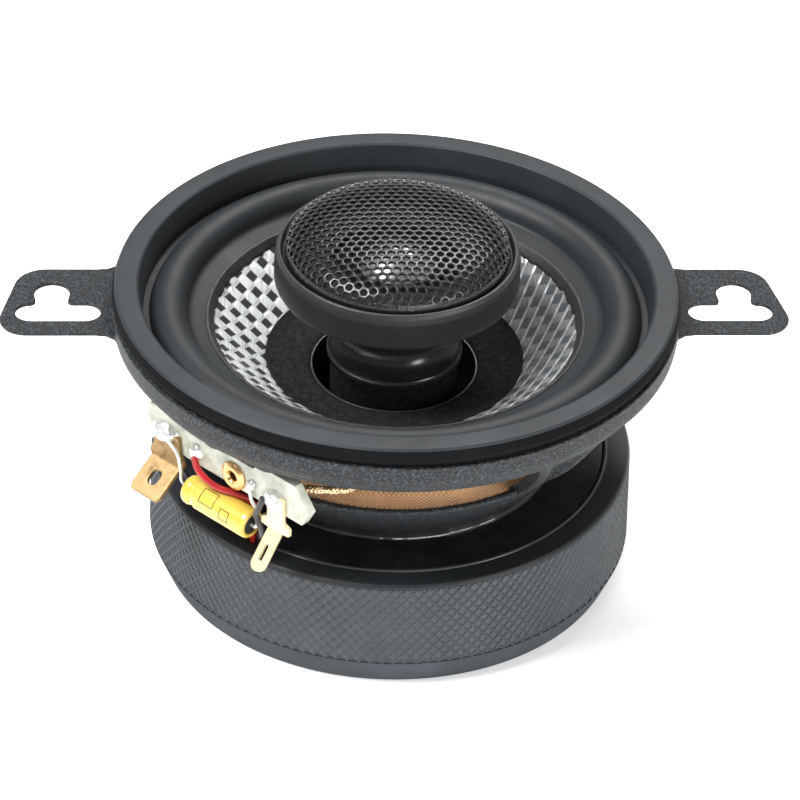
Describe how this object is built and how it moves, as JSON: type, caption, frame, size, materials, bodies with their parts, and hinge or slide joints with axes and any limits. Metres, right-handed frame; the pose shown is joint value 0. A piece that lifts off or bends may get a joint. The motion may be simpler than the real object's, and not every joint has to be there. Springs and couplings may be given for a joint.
{
  "type": "coaxial car speaker",
  "caption": "Round coaxial car speaker: woven cone in a pressed basket with slotted ears, centre tweeter on a post, knurled motor boot and side terminals.",
  "frame": {"origin": "centre of the flat base of the motor boot", "axes": "+Z out of the cone along the speaker's axis, +X to the right mounting ear, terminals towards -X -Y"},
  "size_m": [0.1274, 0.0916, 0.0627],
  "materials": {
    "boot_rubber": "matte",
    "plated_steel": "satin",
    "ferrite": "matte",
    "black_plate": "gloss",
    "wrinkle_coat": "textured",
    "black_glue": "gloss",
    "gasket_rubber": "matte",
    "surround_rubber": "matte",
    "spider_cloth": "woven",
    "woven_cone": "woven, silver",
    "collar_felt": "matte",
    "former_foil": "satin",
    "copper_wire": "satin",
    "tweeter_plastic": "satin",
    "grille_steel": "semi-gloss",
    "dome_film": "polished",
    "fibre_board": "satin",
    "terminal_brass": "worn",
    "terminal_pale_brass": "bright",
    "solder": "bright",
    "capacitor_sleeve": "gloss",
    "red_insulation": "gloss",
    "black_insulation": "gloss",
    "tinsel_braid": "braided"
  },
  "bodies": {
    "frame": {"motor_boot": "boot_rubber", "back_plate": "plated_steel", "magnet": "ferrite", "front_plate": "black_plate", "post_screw": "plated_steel", "basket": "wrinkle_coat", "basket_stakes": "black_plate", "base_glue_bead": "black_glue", "gasket_ring": "gasket_rubber", "surround": "surround_rubber", "spider": "spider_cloth", "tweeter_post": "tweeter_plastic", "tweeter_housing": "tweeter_plastic", "tweeter_grille": "grille_steel", "tweeter_yoke": "plated_steel", "tweeter_magnet": "plated_steel", "tweeter_pole_piece": "plated_steel", "tweeter_clamp_ring": "tweeter_plastic", "tweeter_damping_pad": "collar_felt", "terminal_board": "fibre_board", "positive_terminal": "terminal_brass", "negative_terminal": "terminal_pale_brass", "board_eyelet": "terminal_brass", "solder_joints": "solder", "crossover_capacitor": "capacitor_sleeve", "capacitor_leads": "solder", "red_tweeter_wire": "red_insulation", "black_tweeter_wire": "black_insulation", "tinsel_leads": "tinsel_braid"},
    "cone_assembly": {"cone": "woven_cone", "cone_glue_ring": "black_glue", "cone_collar": "collar_felt", "coil_former": "former_foil", "voice_coil": "copper_wire"},
    "tweeter_diaphragm": {"tweeter_dome": "dome_film", "tweeter_coil": "copper_wire"}
  },
  "joints": [
    {"name": "cone_travel", "type": "slide", "parent": "frame", "child": "cone_assembly", "axis": [0, 0, 1], "range_m": [-0.003, 0.003], "stiffness_N_per_m": 1000, "deforming": ["surround", "spider", "tinsel_leads"]},
    {"name": "tweeter_dome_travel", "type": "slide", "parent": "frame", "child": "tweeter_diaphragm", "axis": [0, 0, 1], "range_m": [-0.00025, 0.00025], "stiffness_N_per_m": 800}
  ]
}
